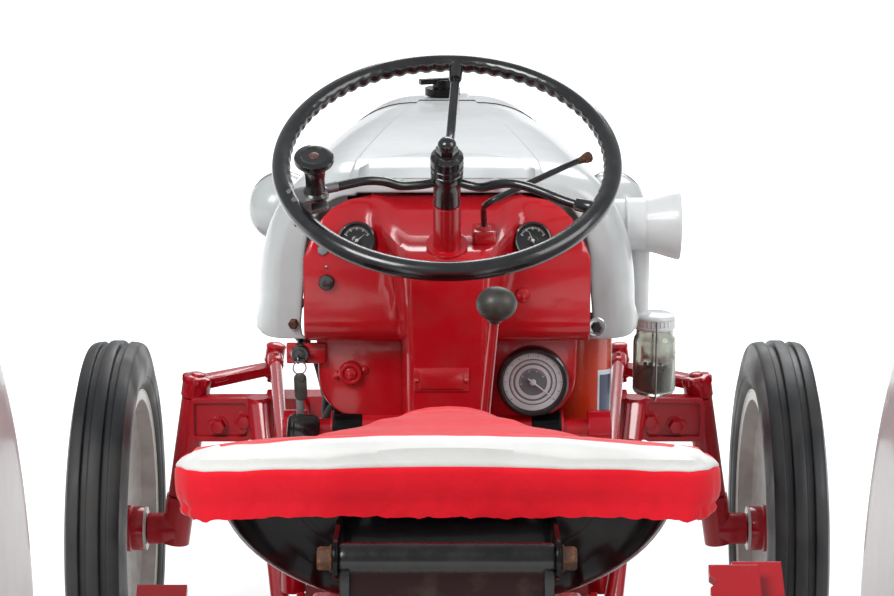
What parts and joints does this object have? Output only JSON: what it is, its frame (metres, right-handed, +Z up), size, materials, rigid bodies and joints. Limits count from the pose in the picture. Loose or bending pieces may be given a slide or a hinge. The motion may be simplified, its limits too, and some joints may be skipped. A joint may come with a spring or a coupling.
{
  "type": "vintage tractor",
  "caption": "Small wheeled farm tractor that rolls, steers, lifts a rear hitch and turns a power shaft, with a hinged driver's seat.",
  "frame": {"origin": "middle of the model's box at ground level, halfway between the hitch's end and the front tyres", "axes": "+Z up, +Y to the tractor's front, +X to the driver's right"},
  "size_m": [1.8, 2.919, 1.3769],
  "materials": {
    "tyre": "matt black rubber",
    "wheel_paint": "light grey paint",
    "sheet_paint": "glossy light grey paint",
    "red_paint": "glossy red paint",
    "engine_paint": "red paint on castings",
    "black_paint": "black paint",
    "hot_iron": "bare and slightly rusty",
    "black_plastic": "glossy black, moulded",
    "gauge_black": "black bezels",
    "seat_fabric": "red padded cover",
    "filter_paint": "orange-red paint",
    "hose_rubber": "matt black",
    "bright_steel": "machined",
    "jar_glass": "clear"
  },
  "bodies": {
    "chassis": {"hood": "sheet_paint", "grille": "sheet_paint", "headlamps": "sheet_paint", "pre_cleaner": "sheet_paint", "fenders": "sheet_paint", "front_axle": "red_paint", "radius_rods": "red_paint", "front_support": "red_paint", "steering_column": "red_paint", "dash": "red_paint", "footrests": "red_paint", "pedals": "red_paint", "levers": "red_paint", "seat_support": "red_paint", "fan": "red_paint", "engine": "engine_paint", "gearbox": "engine_paint", "rear_housing": "engine_paint", "axle_housings": "engine_paint", "generator": "black_paint", "radiator": "black_paint", "exhaust": "hot_iron", "instruments": "gauge_black", "oil_filter": "filter_paint", "hoses": "hose_rubber", "dust_jar": "jar_glass"},
    "rear_wheel_left": {"rear_tyre_left": "tyre", "rear_wheel_left": "wheel_paint"},
    "rear_wheel_right": {"rear_tyre_right": "tyre", "rear_wheel_right": "wheel_paint"},
    "knuckle_left": {"knuckle_left": "red_paint"},
    "knuckle_right": {"knuckle_right": "red_paint"},
    "front_wheel_left": {"front_tyre_left": "tyre", "front_wheel_left": "wheel_paint"},
    "front_wheel_right": {"front_tyre_right": "tyre", "front_wheel_right": "wheel_paint"},
    "drag_link_left": {"drag_link_left": "red_paint"},
    "drag_link_right": {"drag_link_right": "red_paint"},
    "pitman_arm_left": {"pitman_arm_left": "red_paint"},
    "pitman_arm_right": {"pitman_arm_right": "red_paint"},
    "steering_wheel": {"steering_wheel": "black_plastic"},
    "seat": {"seat_pan": "black_paint", "seat_cover": "seat_fabric"},
    "lower_link_left": {"lower_link_left": "red_paint"},
    "lower_link_right": {"lower_link_right": "red_paint"},
    "lift_arms": {"lift_arms": "red_paint"},
    "lift_rod_left": {"lift_rod_left": "red_paint"},
    "lift_rod_right": {"lift_rod_right": "red_paint"},
    "pto_shaft": {"pto_shaft": "bright_steel"}
  },
  "joints": [
    {"name": "roll_rear_left", "type": "hinge", "parent": "chassis", "child": "rear_wheel_left", "pos_m": [-0.762, -0.6675, 0.622], "axis": [1, 0, 0], "continuous": true},
    {"name": "roll_rear_right", "type": "hinge", "parent": "chassis", "child": "rear_wheel_right", "pos_m": [0.762, -0.6675, 0.622], "axis": [1, 0, 0], "continuous": true},
    {"name": "steer_left", "type": "hinge", "parent": "chassis", "child": "knuckle_left", "pos_m": [-0.50125, 1.1105, 0.349], "axis": [0.1564, 0, 0.9877], "range_deg": [-25, 25]},
    {"name": "steer_right", "type": "hinge", "parent": "chassis", "child": "knuckle_right", "pos_m": [0.50125, 1.1105, 0.349], "axis": [-0.1564, 0, 0.9877], "range_deg": [-25, 25]},
    {"name": "roll_front_left", "type": "hinge", "parent": "knuckle_left", "child": "front_wheel_left", "pos_m": [-0.6095, 1.1105, 0.349], "axis": [1, 0, 0], "continuous": true},
    {"name": "roll_front_right", "type": "hinge", "parent": "knuckle_right", "child": "front_wheel_right", "pos_m": [0.6095, 1.1105, 0.349], "axis": [1, 0, 0], "continuous": true},
    {"name": "drag_left", "type": "hinge", "parent": "knuckle_left", "child": "drag_link_left", "pos_m": [-0.32093, 1.2145, 0.65468], "axis": [0.1564, 0, 0.9877], "range_deg": [-23, 23]},
    {"name": "drag_right", "type": "hinge", "parent": "knuckle_right", "child": "drag_link_right", "pos_m": [0.32093, 1.2145, 0.65468], "axis": [-0.1564, 0, 0.9877], "range_deg": [-23, 23]},
    {"name": "pitman_left", "type": "hinge", "parent": "chassis", "child": "pitman_arm_left", "pos_m": [-0.222, 0.1365, 0.836], "axis": [1, 0, 0], "range_deg": [-20, 20]},
    {"name": "pitman_right", "type": "hinge", "parent": "chassis", "child": "pitman_arm_right", "pos_m": [0.222, 0.1365, 0.836], "axis": [1, 0, 0], "range_deg": [-20, 20]},
    {"name": "steering_wheel_turn", "type": "hinge", "parent": "chassis", "child": "steering_wheel", "pos_m": [0, -0.0675, 1.263], "axis": [0, -0.4695, 0.8829], "range_deg": [-400, 400]},
    {"name": "seat_flip", "type": "hinge", "parent": "chassis", "child": "seat", "pos_m": [0, -0.9975, 1.053], "axis": [1, 0, 0], "range_deg": [0, 80]},
    {"name": "link_left", "type": "hinge", "parent": "chassis", "child": "lower_link_left", "pos_m": [-0.204, -0.7255, 0.404], "axis": [-1, 0, 0], "range_deg": [-12, 25]},
    {"name": "link_right", "type": "hinge", "parent": "chassis", "child": "lower_link_right", "pos_m": [0.204, -0.7255, 0.404], "axis": [-1, 0, 0], "range_deg": [-12, 25]},
    {"name": "lift_arms_turn", "type": "hinge", "parent": "chassis", "child": "lift_arms", "pos_m": [0, -0.7955, 0.82], "axis": [-1, 0, 0], "range_deg": [-15, 31.5]},
    {"name": "rod_left", "type": "hinge", "parent": "lower_link_left", "child": "lift_rod_left", "pos_m": [-0.238, -1.05072, 0.42332], "axis": [-1, 0, 0], "range_deg": [-25, 12]},
    {"name": "rod_right", "type": "hinge", "parent": "lower_link_right", "child": "lift_rod_right", "pos_m": [0.238, -1.05072, 0.42332], "axis": [-1, 0, 0], "range_deg": [-25, 12]},
    {"name": "power_shaft_turn", "type": "hinge", "parent": "chassis", "child": "pto_shaft", "pos_m": [0, -0.9335, 0.56], "axis": [0, 1, 0], "continuous": true}
  ],
  "couplings": [
    {"joint": "steer_right", "follows": "steer_left", "ratio": 1},
    {"joint": "drag_left", "follows": "steer_left", "ratio": -0.905},
    {"joint": "drag_right", "follows": "steer_left", "ratio": -0.905},
    {"joint": "pitman_left", "follows": "steer_left", "ratio": 0.775},
    {"joint": "pitman_right", "follows": "steer_left", "ratio": -0.775},
    {"joint": "steering_wheel_turn", "follows": "steer_left", "ratio": 16},
    {"joint": "link_right", "follows": "link_left", "ratio": 1},
    {"joint": "lift_arms_turn", "follows": "link_left", "ratio": 1.24},
    {"joint": "rod_left", "follows": "link_left", "ratio": -0.96},
    {"joint": "rod_right", "follows": "link_left", "ratio": -0.96}
  ]
}
